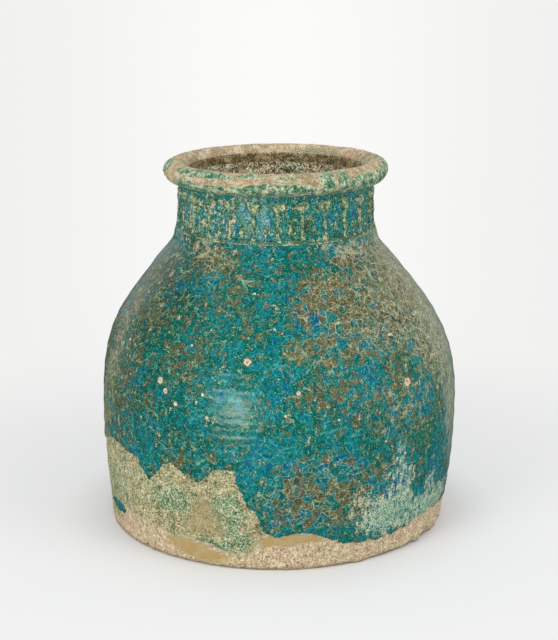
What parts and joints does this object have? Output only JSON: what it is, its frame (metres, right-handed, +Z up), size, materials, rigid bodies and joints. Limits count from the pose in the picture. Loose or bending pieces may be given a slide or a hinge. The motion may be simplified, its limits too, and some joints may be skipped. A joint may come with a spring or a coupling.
{
  "type": "cylindrical jar",
  "caption": "Squat cylindrical stonepaste jar with a domed shoulder, a short neck ringed by a moulded arcade, a rolled lip and a worn turquoise glaze.",
  "frame": {"origin": "centre of the foot, on the surface that the jar stands on", "axes": "+Z up along the jar's axis; the side that the picture shows faces -Y"},
  "size_m": [0.2304, 0.2304, 0.235],
  "materials": {
    "stonepaste": "bare sandy stonepaste, granular and matt, stained buff to greenish grey",
    "lip_stonepaste": "worn pinkish-buff stonepaste with the last of a green glaze",
    "moulded_stonepaste": "relief worn bare on its tops, cream to olive",
    "body_glaze": "glossy turquoise glaze, finely crazed, pitted and weathered to olive and grey in patches",
    "neck_glaze": "thick blue-green glaze pooled in the recesses",
    "inner_glaze": "thin speckled green-brown glaze, mostly matt"
  },
  "bodies": {
    "root": {"base_slab": "stonepaste", "corner_coil": "stonepaste", "lower_wall": "stonepaste", "shoulder_dome": "stonepaste", "neck_collar": "stonepaste", "rolled_lip": "lip_stonepaste", "arcade_band": "moulded_stonepaste", "body_glaze": "body_glaze", "neck_glaze": "neck_glaze", "inner_glaze": "inner_glaze"}
  },
  "joints": []
}
